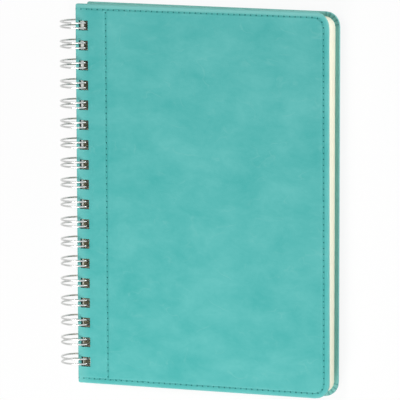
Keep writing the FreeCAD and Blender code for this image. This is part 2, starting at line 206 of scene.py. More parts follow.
def srgb(red, green, blue):
    """Scene colour of a screen colour given as 0 to 255."""
    values = np.array([red, green, blue]) / 255
    linear = np.where(values <= 0.04045, values / 12.92, ((values + 0.055) / 1.055) ** 2.4)
    return (*linear.tolist(), 1.0)


print(f"middle grey on a screen is {srgb(128, 128, 128)[0]:.3f} in the scene")

# %% [markdown]
# Plain studio light. The main lamp stands high, a little up and to the left of the notebook, so
# that the overhang on the right lies in shade. A low lamp reaches the fore-edge of the leaves, and
# one near the lower edge lifts the lower half of the cover. The table is white to the camera
# whatever light falls on it, but it still takes a faint shadow, so the notebook is seen to lie on
# something.

# %% Table, room and lamps
FLOOR_SIZE = 12.0
TABLE_WHITE = (0.9, 0.9, 0.9, 1.0)
TABLE_SEEN = 0.9
TABLE_REFLECTED = 0.8
ROOM_LIGHT = 0.28
ROOM_REFLECTED = 0.7
LAMPS = {
    "main_lamp": {"place": (-0.22, 0.3, 1.3), "aim": (0, 0, 0), "size": 0.22, "power": 5.7},
    "low_lamp": {"place": (0.95, 0.5, 0.12), "aim": (0, 0, 0.01), "size": 0.4, "power": 7.2},
    "near_edge_lamp": {"place": (-0.1, -0.65, 0.6), "aim": (0, -0.05, 0), "size": 0.4, "power": 4.5},
}


def make_floor():
    """White table top at the notebook's lowest point."""
    half = FLOOR_SIZE / 2
    mesh = bpy.data.meshes.new("table")
    corners = [(-half, -half, 0), (half, -half, 0), (half, half, 0), (-half, half, 0)]
    mesh.from_pydata(corners, [], [(0, 1, 2, 3)])
    floor = bpy.data.objects.new("table", mesh)
    bpy.context.scene.collection.objects.link(floor)
    material, tree = new_material("white_table")
    looks = {"Base Color": TABLE_WHITE, "Roughness": 0.9, "Specular IOR Level": 0.0}
    shader = add_node(tree, "ShaderNodeBsdfPrincipled", looks)
    glow = add_node(tree, "ShaderNodeEmission", {"Strength": 1.0})
    ray = add_node(tree, "ShaderNodeLightPath").outputs
    seen = math_node(tree, "MULTIPLY", ray["Is Camera Ray"], TABLE_SEEN)
    reflected = math_node(tree, "MULTIPLY", ray["Is Glossy Ray"], TABLE_REFLECTED)
    share = math_node(tree, "MAXIMUM", seen, reflected)
    surfaces = {0: share, 1: shader.outputs[0], 2: glow.outputs[0]}
    blend = add_node(tree, "ShaderNodeMixShader", surfaces)
    add_node(tree, "ShaderNodeOutputMaterial", {"Surface": blend.outputs[0]})
    mesh.materials.append(material)


def make_room():
    """Even white light from all sides, white where the camera or a reflection sees it."""
    world = bpy.data.worlds.new("room")
    world.use_nodes = True
    tree = world.node_tree
    tree.nodes.clear()
    ray = add_node(tree, "ShaderNodeLightPath").outputs
    reflected = math_node(tree, "MULTIPLY", ray["Is Glossy Ray"], ROOM_REFLECTED)
    seen = math_node(tree, "MAXIMUM", ray["Is Camera Ray"], reflected)
    strength = math_node(tree, "MULTIPLY_ADD", seen, 1.0 - ROOM_LIGHT, ROOM_LIGHT)
    white = {"Color": (1.0, 1.0, 1.0, 1.0), "Strength": strength}
    background = add_node(tree, "ShaderNodeBackground", white)
    add_node(tree, "ShaderNodeOutputWorld", {"Surface": background.outputs[0]})
    bpy.context.scene.world = world


def make_lamp(name, place, aim, size, power):
    """Square soft lamp at a place, turned toward a point."""
    data = bpy.data.lights.new(name, "AREA")
    data.shape = "SQUARE"
    data.size = size
    data.energy = power
    lamp = bpy.data.objects.new(name, data)
    lamp.location = place
    lamp.rotation_euler = (Vector(aim) - Vector(place)).to_track_quat("-Z", "Y").to_euler()
    bpy.context.scene.collection.objects.link(lamp)


make_floor()
make_room()
for name, values in LAMPS.items():
    make_lamp(name, **values)
print("table, room and lamps made:", ", ".join(LAMPS))

# %% [markdown]
# Covers and leaves are thin plates with rounded corners and square holes, so one idea makes them
# all. Lines run across the plate in x and in y, and every crossing is a point. Near a round corner
# the crossings are pulled onto arcs, so the grid stays whole and no face has to be cut.

# %% Grids with round corners
CORNER_SIGNS = ((-1, -1), (-1, 1), (1, -1), (1, 1))


def squeezed(lines, inset, band):
    """Lines whose outermost band is squeezed, so that the first and the last lie at the inset.

    With e the distance from the nearer edge, a line inside the band moves to
    inset + e * (band - inset) / band, and the others stay.
    """
    length = lines[-1]
    edge = np.minimum(lines, length - lines)
    moved = np.where(edge < band, inset + edge * (band - inset) / band, edge)
    return np.where(lines < length / 2, moved, length - moved)


def bend_corner(plan, centre, signs, radius, reach):
    """Pulls the crossings beyond an arc's centre onto arcs about it.

    A crossing at (a, b) from the centre goes to (a, b) * larger(a, b) / distance, so a square of
    lines becomes a quarter disc. Past the radius the pull fades out over the reach.
    """
    offset = (plan - centre) * signs
    inside = (offset[..., 0] > 0) & (offset[..., 1] > 0)
    larger = offset.max(axis=-1)
    distance = np.maximum(np.hypot(offset[..., 0], offset[..., 1]), TINY)
    fade = np.clip((radius + reach - larger) / reach, 0, 1) if reach else 1.0
    scale = 1 + (larger / distance - 1) * fade
    return np.where(inside[..., None], centre + signs * offset * scale[..., None], plan)


def round_corners(plan, lengths, inset, radii, reach=0.0):
    """Rounds the corners of a rectangle at an inset: the spine's radius first, then the other."""
    half = np.array(lengths) / 2
    for side, end in CORNER_SIGNS:
        signs = np.array([side, end])
        radius = radii[0] if side < 0 else radii[1]
        plan = bend_corner(plan, half + signs * (half - inset - radius), signs, radius, reach)
    return plan


def plan_grid(lines_x, lines_y, inset, radii):
    """Plan positions of all crossings, with the border set in and its corners rounded."""
    xs = squeezed(lines_x, inset, SPINE_CORNER)
    ys = squeezed(lines_y, inset, SPINE_CORNER)
    plan = np.stack(np.meshgrid(xs, ys, indexing="ij"), axis=-1)
    return round_corners(plan, (lines_x[-1], lines_y[-1]), 0, radii)


print(f"corners: {CORNER / MM:.1f} mm at the fore-edge, {SPINE_CORNER / MM:.1f} mm at the spine")

# %% [markdown]
# A face is four numbers of points, and its order says which way it looks: anticlockwise seen from
# outside. Cells of the grid give the flat faces, and two loops of equal length give the walls
# between them, at the rim and in the holes. numpy makes all of them as whole tables.

# %% Faces of a grid
def loop_of(count_y, first, last):
    """Numbers of the crossings round a block of cells, anticlockwise seen from above.

    Line i of x and line j of y cross at the point with the number i * count_y + j.
    """
    (i0, j0), (i1, j1) = first, last
    across, up = np.arange(i0, i1), np.arange(j0, j1)
    return np.concatenate([
        across * count_y + j0,
        i1 * count_y + up,
        (i1 - np.arange(i1 - i0)) * count_y + j1,
        i0 * count_y + (j1 - np.arange(j1 - j0)),
    ])


def walls_between(upper, lower):
    """Faces between two loops of point numbers, the upper one first."""
    return np.stack([upper, lower, np.roll(lower, -1), np.roll(upper, -1)], axis=1)


def cells_of(count_x, count_y, open_cells):
    """Faces of the grid, seen from above, less the open cells."""
    number = np.arange(count_x * count_y).reshape(count_x, count_y)
    quads = np.stack([number[:-1, :-1], number[1:, :-1], number[1:, 1:], number[:-1, 1:]], axis=-1)
    return quads[~open_cells].reshape(-1, 4)


def mesh_object(name, points, quads, smooth=True):
    """Object at the origin from a table of points and a table of four-cornered faces."""
    mesh = bpy.data.meshes.new(name)
    mesh.vertices.add(len(points))
    mesh.vertices.foreach_set("co", np.asarray(points, np.float32).ravel())
    mesh.loops.add(quads.size)
    mesh.loops.foreach_set("vertex_index", quads.astype(np.int32).ravel())
    mesh.polygons.add(len(quads))
    mesh.polygons.foreach_set("loop_start", np.arange(0, quads.size, 4, dtype=np.int32))
    mesh.polygons.foreach_set("use_smooth", np.full(len(quads), smooth))
    mesh.update(calc_edges=True)
    mesh.validate()
    piece = bpy.data.objects.new(name, mesh)
    bpy.context.scene.collection.objects.link(piece)
    return piece


print("border of a grid of 3 by 3:", loop_of(3, (0, 0), (2, 2)).tolist())

# %% [markdown]
# The binding machine punches covers and leaves alike, so one function finds the holes on any grid.
# In the skin each hole is a little wider than in the board, because the soft skin draws back from
# the cut. There the board shows in the wall of the hole, its dark colour painted as the shade in it.

# %% Punched holes
LIP = 0.4 * MM
PULL_BACK = 0.12 * MM


def holes_in(lines_x, lines_y, grow):
    """Blocks of cells that the punch takes out, each as its first and its last crossing.

    The lines are measured from the corner of the cover, and every side moves out by grow.
    """
    far_side = HOLE_SIZE + grow - TINY
    left, right = np.searchsorted(lines_x, [HOLE_MARGIN - grow - TINY, HOLE_MARGIN + far_side])
    lows = np.searchsorted(lines_y, HOLE_LOWS - grow - TINY)
    highs = np.searchsorted(lines_y, HOLE_LOWS + far_side)
    return [((left, low), (right, high)) for low, high in zip(lows, highs)]


def cells_in(lines_x, lines_y, blocks):
    """True for each cell that lies in one of the blocks."""
    cells = np.zeros((len(lines_x) - 1, len(lines_y) - 1), bool)
    for (left, low), (right, high) in blocks:
        cells[left:right, low:high] = True
    return cells


def lip_lines(low, high):
    """Lines at both sides of a hole in the skin, and where the lip beyond each side ends."""
    return np.hstack([low - PULL_BACK - LIP, low - PULL_BACK, high + PULL_BACK, high + PULL_BACK + LIP])


print(f"first hole at {HOLE_LOWS[0] / MM:.2f} mm, {HOLE_COUNT} holes of {HOLE_SIZE / MM:.0f} mm")

# %% [markdown]
# The cover's grid has its lines where something happens: at the softened edge, on both sides of
# the seams, at the lips of the holes and at the edge of the inner lining panel. Between them the
# faux leather is nearly flat, and a few lines are enough.

# %% Lines of a cover
PANEL_STEP = 7.0 * MM
ROW_STEP = 3.2 * MM
PANEL_EDGE = 0.05 * MM
RIM_LINES = np.array([0, 0.35 * MM, 0.8 * MM, SPINE_CORNER])
INSIDE_RIM = np.array([1.9, 2.4]) * MM
BESIDE_SEAM = np.array([-0.5, -0.25, 0, 0.25, 0.5, 1.2, 2.2, 3.4]) * MM
BESIDE_SPINE_SEAM = np.array([-2.2, -1.2, -0.5, -0.25, 0, 0.25, 0.5, 1.2, 2.2]) * MM
BESIDE_LINING = np.array([-0.8 * MM, 0, PANEL_EDGE, 0.8 * MM, 1.6 * MM, 3.0 * MM])
BEFORE_LINING = 1.6 * MM


def lines_from(length, wanted, step):
    """Sorted lines with both ends, the wanted ones, and more so that no gap is over the step."""
    wanted = np.unique(np.round(np.concatenate([[0, length], wanted]), 9))
    gaps = np.diff(wanted)
    pieces = [
        np.linspace(start, start + gap, int(np.ceil(gap / step)) + 1)[:-1]
        for start, gap in zip(wanted[:-1], gaps)
    ]
    return np.concatenate(pieces + [[length]])


edge_lines = np.hstack([
    RIM_LINES, INSIDE_RIM, SEAM_INSET + BESIDE_SEAM,
    TURN_IN - BEFORE_LINING, TURN_IN + BESIDE_LINING, CORNER,
])
hole_sides = lip_lines(HOLE_MARGIN, HOLE_MARGIN + HOLE_SIZE)
spine_lines = np.hstack([
    RIM_LINES, hole_sides, TURN_IN + BESIDE_LINING, SPINE_SEAM + BESIDE_SPINE_SEAM,
])
hole_ends = lip_lines(HOLE_LOWS, HOLE_LOWS + HOLE_SIZE)
lines_x = lines_from(WIDTH, np.hstack([spine_lines, WIDTH - edge_lines]), PANEL_STEP)
lines_y = lines_from(HEIGHT, np.hstack([edge_lines, HEIGHT - edge_lines, hole_ends]), ROW_STEP)
print(f"cover grid: {len(lines_x)} by {len(lines_y)} lines")

# %% [markdown]
# A seam is followed by two numbers: how many stitches along it a point lies, and how far beside
# it. Both are stored on the mesh, so that the leather's material can press a needle hole between
# two stitches, wherever the seam runs.

# %% Along and beside a seam
BORDER_RADIUS = CORNER - SEAM_INSET
TOP_RUN = WIDTH - CORNER - SEAM_START
CORNER_RUN = BORDER_RADIUS * math.pi / 2
FORE_RUN = HEIGHT - 2 * CORNER
BORDER_LENGTH = 2 * TOP_RUN + 2 * CORNER_RUN + FORE_RUN
BORDER_STITCHES = round(BORDER_LENGTH / STITCH_PITCH)
SPINE_LENGTH = HEIGHT - 2 * SEAM_INSET - STITCH_PITCH
SPINE_STITCHES = round(SPINE_LENGTH / STITCH_PITCH)


def beyond_corner(plan):
    """Lengths across and up beyond the centre of the nearer fore-edge corner, and their angle."""
    across = plan[..., 0] - (WIDTH - CORNER)
    up = np.abs(plan[..., 1] - HEIGHT / 2) - (HEIGHT / 2 - CORNER)
    return across, up, np.arctan2(np.maximum(across, 0), np.maximum(up, TINY))


def edge_distance(plan, with_spine=False):
    """Distance inside the three edges that have a seam, and inside the spine too if asked.

    In a round corner it is the corner's radius less the distance to the corner's centre.
    """
    x, y = plan[..., 0], plan[..., 1]
    sides = np.minimum(WIDTH - x, np.minimum(y, HEIGHT - y))
    if with_spine:
        sides = np.minimum(x, sides)
    across, up, _ = beyond_corner(plan)
    return np.where((across > 0) & (up > 0), CORNER - np.hypot(across, up), sides)


def along_border(plan):
    """Length along the border seam, from the spine end of its top row, at the nearest point."""
    x, y = plan[..., 0], plan[..., 1]
    across, up, angle = beyond_corner(plan)
    half_way = TOP_RUN + CORNER_RUN + FORE_RUN / 2
    side = half_way - np.minimum(np.abs(y - HEIGHT / 2), FORE_RUN / 2)
    past_row = np.where(up > 0, TOP_RUN + BORDER_RADIUS * angle, side)
    length = np.where(across <= 0, x - SEAM_START, past_row)
    on_side = (across <= 0) & (WIDTH - x < np.minimum(y, HEIGHT - y))
    length = np.where(on_side, side, length)
    return np.where(y >= HEIGHT / 2, length, BORDER_LENGTH - length)


def seam_path():
    """Centre and direction of every stitch of a cover, in plan, evenly spaced along its row."""
    middle = (np.arange(BORDER_STITCHES) + 0.5) * BORDER_LENGTH / BORDER_STITCHES
    mirrored = middle > BORDER_LENGTH / 2
    run = np.where(mirrored, BORDER_LENGTH - middle, middle)
    angle = np.clip((run - TOP_RUN) / BORDER_RADIUS, 0, math.pi / 2)
    beyond = np.maximum(run - TOP_RUN - CORNER_RUN, 0)
    x = SEAM_START + np.minimum(run, TOP_RUN) + BORDER_RADIUS * np.sin(angle)
    y = HEIGHT - CORNER + BORDER_RADIUS * np.cos(angle) - beyond
    turn = np.where(mirrored, math.pi + angle, -angle)
    y = np.where(mirrored, HEIGHT - y, y)
    rows = (np.arange(SPINE_STITCHES) + 0.5) * SPINE_LENGTH / SPINE_STITCHES
    spine_y = SEAM_INSET + STITCH_PITCH / 2 + rows
    spine_x = np.full(SPINE_STITCHES, SPINE_SEAM)
    centres = np.stack([np.concatenate([x, spine_x]), np.concatenate([y, spine_y])], axis=1)
    return centres, np.concatenate([turn, np.full(SPINE_STITCHES, math.pi / 2)])


print(f"{BORDER_STITCHES} stitches round the border and {SPINE_STITCHES} beside the spine")

# %% [markdown]
# The faux leather skin is one soft sheet glued over the board. Its face is lowest in the seams,
# where the thread pulls it down, and swells gently on both sides of them. Its edge is rolled over
# the board with a soft radius. A height worked out from the distance to the edge and to the seams
# gives all of this, with no modelling by hand.

# %% Relief of the skin
SEAM_DEPTH = 0.26 * MM
SEAM_WIDTH = 0.42 * MM
SEAM_FADE = 1.5 * MM
SPINE_SEAM_FADE = 2.0 * MM
SWELL = 0.13 * MM
SWELL_REACH = 1.6 * MM
BAND_DROP = 0.34 * MM
OUTER_STEPS = 5
INNER_STEPS = 3


def swelling(distance):
    """Height beside a seam: -depth * exp(-(d / width)^2) + swell * u * exp(1 - u), u = |d| / reach."""
    reach = np.abs(distance) / SWELL_REACH
    return -SEAM_DEPTH * np.exp(-((distance / SEAM_WIDTH) ** 2)) + SWELL * reach * np.exp(1 - reach)


def cover_face(plan):
    """Height of the skin over its flat level: two seams, and a band that falls to the stitched edges.

    The band outside the border seam drops by drop * u^2, where u runs from 0 at the seam to 1.
    """
    inside = edge_distance(plan)
    border = swelling(inside - SEAM_INSET)
    begun = np.clip((plan[..., 0] - SEAM_START + SEAM_FADE) / SEAM_FADE, 0, 1)
    spine = swelling(plan[..., 0] - SPINE_SEAM)
    clear_of_border = np.clip((inside - SEAM_INSET) / SPINE_SEAM_FADE, 0, 1)
    outside = np.clip(1 - inside / SEAM_INSET, 0, 1)
    return border * begun + spine * clear_of_border - BAND_DROP * outside**2


def rim_rings():
    """Inset and height of each ring of the rim, from the outer face round to the inner face.

    Outer quarter circle: inset r * (1 - sin t), height -r * (1 - cos t). Then straight down, and
    a small quarter circle into the inner face.
    """
    outer = np.linspace(0, math.pi / 2, OUTER_STEPS + 1)[1:]
    inner = np.linspace(0, math.pi / 2, INNER_STEPS + 1)
    inset = np.concatenate([EDGE_ROUND * (1 - np.sin(outer)), INNER_ROUND * (1 - np.cos(inner))])
    height = np.concatenate([
        COVER_TOP - EDGE_ROUND * (1 - np.cos(outer)),
        COVER_INNER + INNER_ROUND * (1 - np.sin(inner)),
    ])
    return inset, height


print(f"the seams are pressed in by {SEAM_DEPTH / MM:.2f} mm, the skin swells by {SWELL / MM:.2f} mm")

# %% [markdown]
# The skin's mesh is two grids, the outer and the inner face, with a stack of rings between them
# round the rim and one wall in each hole. The outer face dips at the lips of the holes, where the
# punch pressed it. The inner face steps back under the lining panel. The front cover is slid and
# turned, and the back cover is the same mesh seen in a mirror, so its faces are turned round again.

# %% Skin of a cover
LIP_DROP = 0.12 * MM
RECESS = SKIN + 0.02 * MM
LINING_REACH = 1.0 * MM


def skin_points():
    """Points and faces of a straight front cover's skin, a closed shell with its holes."""
    radii = (SPINE_CORNER, CORNER)
    shape = (len(lines_x), len(lines_y))
    count = shape[0] * shape[1]
    top = plan_grid(lines_x, lines_y, EDGE_ROUND, radii)
    low = plan_grid(lines_x, lines_y, INNER_ROUND, radii)
    low = round_corners(low, (WIDTH, HEIGHT), TURN_IN, (LINING_CORNER,) * 2, LINING_REACH)
    holes = holes_in(lines_x, lines_y, PULL_BACK)

    lips = np.zeros(shape, bool)
    for (left, start), (right, end) in holes:
        lips[left:right + 1, start:end + 1] = True
    rise = cover_face(top) - LIP_DROP * lips
    border_x = np.minimum(lines_x, WIDTH - lines_x)
    border_y = np.minimum(lines_y, HEIGHT - lines_y)
    from_edge = np.minimum(border_x[:, None], border_y)
    sunk = (from_edge > TURN_IN + PANEL_EDGE / 2) * RECESS

    inset, height = rim_rings()
    border = loop_of(shape[1], (0, 0), (shape[0] - 1, shape[1] - 1))
    fall = rise.ravel()[border]
    share = (height - COVER_INNER) / (COVER_TOP - COVER_INNER)
    rings = []
    for step, z, part in zip(inset[:-1], height, share):
        ring = plan_grid(lines_x, lines_y, step, radii).reshape(-1, 2)[border]
        rings.append(np.column_stack([ring, z + fall * part]))
    top_points = np.dstack([top, COVER_TOP + rise]).reshape(-1, 3)
    low_points = np.dstack([low, COVER_INNER + sunk]).reshape(-1, 3)
    points = np.concatenate([top_points, low_points] + rings) + (SPINE_X, BOTTOM_Y, 0)

    faces = cells_of(*shape, cells_in(lines_x, lines_y, holes))
    ring = np.arange(len(border))
    loops = [border]
    loops += [2 * count + number * len(border) + ring for number in range(len(rings))]
    loops.append(border + count)
    quads = [faces, faces[:, ::-1] + count]
    quads += [walls_between(upper, lower) for upper, lower in zip(loops, loops[1:])]
    for first, last in holes:
        loop = loop_of(shape[1], first, last)
        quads.append(walls_between(loop + count, loop))
    return points, np.concatenate(quads)


def laid_front(points, quads):
    """The same surface on the front cover, which lies slightly askew."""
    return slid_and_turned(points, FRONT_SLIP, FRONT_TURN), quads


def mirrored(points, quads):
    """The same surface on the back cover, seen in a mirror in the middle of the notebook."""
    flipped = points.copy()
    flipped[:, 2] = 2 * MIDDLE_Z - flipped[:, 2]
    return flipped, quads[:, ::-1]


skin_shape = skin_points()
front_skin = mesh_object("front_skin", *laid_front(*skin_shape))
back_skin = mesh_object("back_skin", *mirrored(*skin_shape))
print(f"skin: {len(front_skin.data.polygons)} faces a cover")

# %% [markdown]
# A material can't know where the seams run or where hands rub, but the mesh can tell it. Numbers
# stored on the points do that: along and beside each seam, round and into each corner's pleats, and
# how pale a spot is painted and whether it is turned in. The edges are paler from wear, and the
# upper edge and the spine margin are paler still as a painted sheen. A far away number switches a
# seam off where it has no stitches.

# %% Numbers stored on the skin
FAR_AWAY = 999.0
OUTER_FROM = 1.2 * MM
PAST_LAST_STITCH = 0.9 * MM
PLEAT_FADE = 1.5 * MM
EDGE_RUB = {"start": 0.6, "width": 2.0 * MM, "most": 1.0}
# The next two are painted sheen: a paler colour for the gloss of light on the upper edge and on the
# spine margin.
HEAD_SHEEN = {"start": 1.7, "width": 2.2 * MM, "most": 1.0}
MARGIN_SHEEN = {"start": 0.8, "width": 10.0 * MM, "most": 0.5}


def wear_and_sheen(distance, start, width, most):
    """How pale the skin is, from wear and painted sheen: start - distance / width, held between 0 and
    the most.
    """
    return np.clip(start - distance / width, 0, most)


def store_vector(mesh, name, first, second):
    """Two numbers for each point, as an attribute that a material can read."""
    values = np.zeros((len(mesh.vertices), 3), np.float32)
    values[:, 0] = first
    values[:, 1] = second
    attribute = mesh.attributes.new(name, "FLOAT_VECTOR", "POINT")
    attribute.data.foreach_set("vector", values.ravel())


def store_seams(mesh, points):
    """Stores border_seam and spine_seam, corner_fan for the pleats, and one for paleness from wear and
    painted sheen, and for inside.
    """
    plan = points[:, :2] - (SPINE_X, BOTTOM_Y)
    x, y = plan.T
    outside = np.abs(points[:, 2] - MIDDLE_Z) > COVER_INNER - MIDDLE_Z + OUTER_FROM
    far = np.where(outside, 0, FAR_AWAY)
    along = along_border(plan) / BORDER_LENGTH * BORDER_STITCHES
    store_vector(mesh, "border_seam", along, (edge_distance(plan) - SEAM_INSET) / MM + far)
    rows = (y - SEAM_INSET - STITCH_PITCH / 2) / SPINE_LENGTH * SPINE_STITCHES
    past_end = np.where(np.abs(y - HEIGHT / 2) > SPINE_LENGTH / 2 + PAST_LAST_STITCH, FAR_AWAY, 0)
    store_vector(mesh, "spine_seam", rows, (x - SPINE_SEAM) / MM + far + past_end)
    across, up, angle = beyond_corner(plan)
    gathered = np.clip(np.minimum(across, up) / PLEAT_FADE + 1, 0, 1) * ~outside
    store_vector(mesh, "corner_fan", angle / (math.pi / 2), gathered)
    edge = wear_and_sheen(edge_distance(plan, with_spine=True), **EDGE_RUB)
    # Wear pales all edges, and the upper edge and the spine margin get a painted sheen on top of it.
    rub_and_sheen = np.maximum(edge, np.maximum(wear_and_sheen(HEIGHT - y, **HEAD_SHEEN), wear_and_sheen(x, **MARGIN_SHEEN)))
    store_vector(mesh, "rub_and_sheen", rub_and_sheen * outside, ~outside)


for skin in (front_skin, back_skin):
    store_seams(skin.data, skin_shape[0])
print("stored on the skin:", [name for name in front_skin.data.attributes.keys() if name[0] != "."])

# %% [markdown]
# The thread is dyed to match the leather. Each stitch is a short piece of thread that comes
# up through one needle hole and goes down through the next, so its middle lies proud and its ends
# dive into the leather. One stitch is a tube on a small grid, and the whole row is that grid
# repeated with numpy, once for each place and direction.

# %% Thread
THREAD_RADIUS = 0.27 * MM
THREAD_FLATNESS = 0.8
STITCH_LENGTH = 3.35 * MM
THREAD_SIDES = 8
THREAD_STEPS = 8
THREAD_LEVEL = COVER_TOP - SEAM_DEPTH + 0.75 * THREAD_RADIUS


def stitch_tube():
    """One stitch along X: centre height = r * (0.35 - 2.1 * s^6), radius = r * (1 - 0.35 * s^4).

    Here s runs from -1 to 1 along the stitch, and the thread is a little flat. The second and
    third results are the pattern coordinates: millimetres along and turns around.
    """
    run = np.linspace(-1, 1, THREAD_STEPS + 1)[:, None]
    turn = np.arange(THREAD_SIDES)[None, :] / THREAD_SIDES
    angle = 2 * math.pi * turn
    radius = THREAD_RADIUS * (1 - 0.35 * run**4)
    x = run * STITCH_LENGTH / 2 + 0 * angle
    y = radius * np.sin(angle)
    z = THREAD_RADIUS * (0.35 - 2.1 * run**6) + THREAD_FLATNESS * radius * np.cos(angle)
    return np.stack([x, y, z], axis=-1).reshape(-1, 3), x.ravel() / MM, (turn + 0 * run).ravel()


def cap_faces(ring):
    """A round end closed with a fan of four-cornered faces."""
    starts = np.arange(1, len(ring) - 2, 2)
    return np.stack([ring[np.zeros_like(starts)], ring[starts], ring[starts + 1], ring[starts + 2]], 1)


def closed_tube(rings, sides):
    """Faces of a tube and its two ends, which all point outward.

    The points of each ring run anticlockwise for someone who looks along the tube.
    """
    number = np.arange(rings * sides).reshape(rings, sides)
    onward = np.roll(number, -1, axis=1)
    walls = np.stack([number[:-1], number[1:], onward[1:], onward[:-1]], axis=-1).reshape(-1, 4)
    return np.concatenate([walls, cap_faces(number[0]), cap_faces(number[-1])[:, ::-1]])


def thread_points():
    """All the stitches of a straight front cover in one mesh, with their pattern coordinates."""
    centres, turns = seam_path()
    tube, along, around = stitch_tube()
    cosine, sine = np.cos(turns)[:, None], np.sin(turns)[:, None]
    x = centres[:, :1] + cosine * tube[:, 0] - sine * tube[:, 1] + SPINE_X
    y = centres[:, 1:] + sine * tube[:, 0] + cosine * tube[:, 1] + BOTTOM_Y
    z = THREAD_LEVEL + tube[:, 2] + 0 * x
    points = np.stack([x, y, z], axis=-1).reshape(-1, 3)
    shift = (np.arange(len(centres)) * len(tube))[:, None, None]
    quads = (closed_tube(THREAD_STEPS + 1, THREAD_SIDES)[None] + shift).reshape(-1, 4)
    return points, quads, np.tile(along, len(centres)), np.tile(around, len(centres))


points, quads, along, around = thread_points()
front_thread = mesh_object("front_thread", *laid_front(points, quads))
back_thread = mesh_object("back_thread", *mirrored(points, quads))
for thread in (front_thread, back_thread):
    store_vector(thread.data, "twist", along, around)
print(f"thread: {len(quads)} faces a cover")

# %% [markdown]
# About 120 leaves lie between the covers. Single leaves would be far thinner than anything a camera
# sees here, so the block is made of a few bundles. Every bundle is shifted a fraction of a
# millimetre, as leaves on a wire are. The first leaves lie a little askew, which is why the square
# holes show a white strip that narrows from the top of the notebook to its middle. The last leaves
# are cut back along the wire, where the closed seam of the wire lies.

# %% Page block
FORE_INSET = 2.6 * MM
END_INSET = 3.0 * MM
SPINE_INSET = 0.6 * MM
LEAF_CORNER = 7.0 * MM
LEAF_SPINE_CORNER = 0.5 * MM
LEAF_STEP = 60 * MM
CORNER_LINES = np.array([0.9, 2.0, 3.2, 4.6, 6.0, 7.0]) * MM
FIRST_LEAVES = 0.3 * MM
LEAF_TURN = math.radians(-0.65)
LEAF_SLIP = 0.4 * MM
RELIEF = 1.8 * MM
BUNDLES = 10
BUNDLE_SHIFT = 0.22 * MM
SHIFT_SHARES = (1, 0.8)
BUNDLE_SEED = 7
LEAF_WIDTH = WIDTH - FORE_INSET - SPINE_INSET
LEAF_HEIGHT = HEIGHT - 2 * END_INSET
BACK_INNER = 2 * MIDDLE_Z - COVER_INNER
ASKEW_FROM = COVER_INNER - FIRST_LEAVES


def leaf_grid():
    """Plan of the leaves, the cells that are punched out, and those cut back for the wire's seam."""
    sides = np.array([HOLE_MARGIN, HOLE_MARGIN + HOLE_SIZE]) - SPINE_INSET
    ends = np.hstack([HOLE_LOWS, HOLE_LOWS + HOLE_SIZE]) - END_INSET
    xs = lines_from(LEAF_WIDTH, sides, LEAF_STEP)
    xs = lines_from(LEAF_WIDTH, np.hstack([xs, LEAF_WIDTH - CORNER_LINES]), LEAF_WIDTH)
    rows = np.hstack([ends, CORNER_LINES, LEAF_HEIGHT - CORNER_LINES])
    ys = lines_from(LEAF_HEIGHT, rows, LEAF_HEIGHT)
    plan = plan_grid(xs, ys, 0, (LEAF_SPINE_CORNER, LEAF_CORNER))
    plan = plan + (SPINE_X + SPINE_INSET, BOTTOM_Y + END_INSET)
    holes = holes_in(xs + SPINE_INSET, ys + END_INSET, 0)
    lowest = holes[0][0][1]
    wire_seam = ((0, lowest), holes[-1][1])
    return plan, cells_in(xs, ys, holes), cells_in(xs, ys, holes + [wire_seam])


def plate(plan, low, high, open_cells):
    """Flat plate over the cells that aren't open, with upright walls wherever it ends.

    A wall stands on every line between a cell with material and a cell without, and runs
    anticlockwise round the material, so that it faces outward.
    """
    nx, ny = plan.shape[:2]
    number = np.arange(nx * ny).reshape(nx, ny)
    solid = np.pad(~open_cells, 1)
    starts, ends = [], []
    up_lines = (solid[:-1, 1:-1], solid[1:, 1:-1], number[:, :-1], number[:, 1:])
    across_lines = (solid[1:-1, 1:], solid[1:-1, :-1], number[:-1, :], number[1:, :])
    for before, after, one, other in (up_lines, across_lines):
        ends_here = before & ~after
        starts_here = ~before & after
        starts += [one[ends_here], other[starts_here]]
        ends += [other[ends_here], one[starts_here]]
    starts, ends = np.concatenate(starts), np.concatenate(ends)
    count = nx * ny
    faces = cells_of(nx, ny, open_cells)
    walls = np.stack([starts, starts + count, ends + count, ends], axis=1)
    flat = plan.reshape(-1, 2)
    levels = [np.column_stack([flat, np.full(count, level)]) for level in (high, low)]
    quads = np.concatenate([faces, faces[:, ::-1] + count, walls])
    used, quads = np.unique(quads, return_inverse=True)
    return np.concatenate(levels)[used], quads.reshape(-1, 4)


def joined(parts):
    """One mesh from several: points end to end, and face numbers moved on to match."""
    starts = np.cumsum([0] + [len(points) for points, _ in parts])
    quads = [quads + start for (_, quads), start in zip(parts, starts)]
    return np.concatenate([points for points, _ in parts]), np.concatenate(quads)


def make_page_block():
    """Bundles of leaves from the back cover up to the front cover."""
    generator = np.random.default_rng(BUNDLE_SEED)
    plan, punched, cut_back = leaf_grid()
    levels = np.concatenate([
        [BACK_INNER, BACK_INNER + RELIEF / 2],
        np.linspace(BACK_INNER + RELIEF, ASKEW_FROM, BUNDLES + 1),
    ])
    bundles = []
    for low, high in zip(levels, levels[1:]):
        shift = generator.uniform(-BUNDLE_SHIFT, 0, 2) * SHIFT_SHARES
        cells = cut_back if high < BACK_INNER + RELIEF + TINY else punched
        bundles.append(plate(plan + shift, low, high, cells))
    turned = slid_and_turned(plan, LEAF_SLIP, LEAF_TURN)
    bundles.append(plate(turned, ASKEW_FROM, COVER_INNER, punched))
    return mesh_object("leaves", *joined(bundles), smooth=False)


leaves = make_page_block()
print(f"leaves: {len(leaves.data.polygons)} faces")

# %% [markdown]
# A twin-loop binding is one continuous wire. Seen from the spine it is a comb: a straight back,
# a bend, once round the leaves, a tight turn at the tip, once round again and back to the comb. A
# formula gives the centre of the wire at every step, and at each step a circle is drawn around it.
# The direction that points away from the loops' axis is square to the wire everywhere, so it keeps
# the circles from twisting.

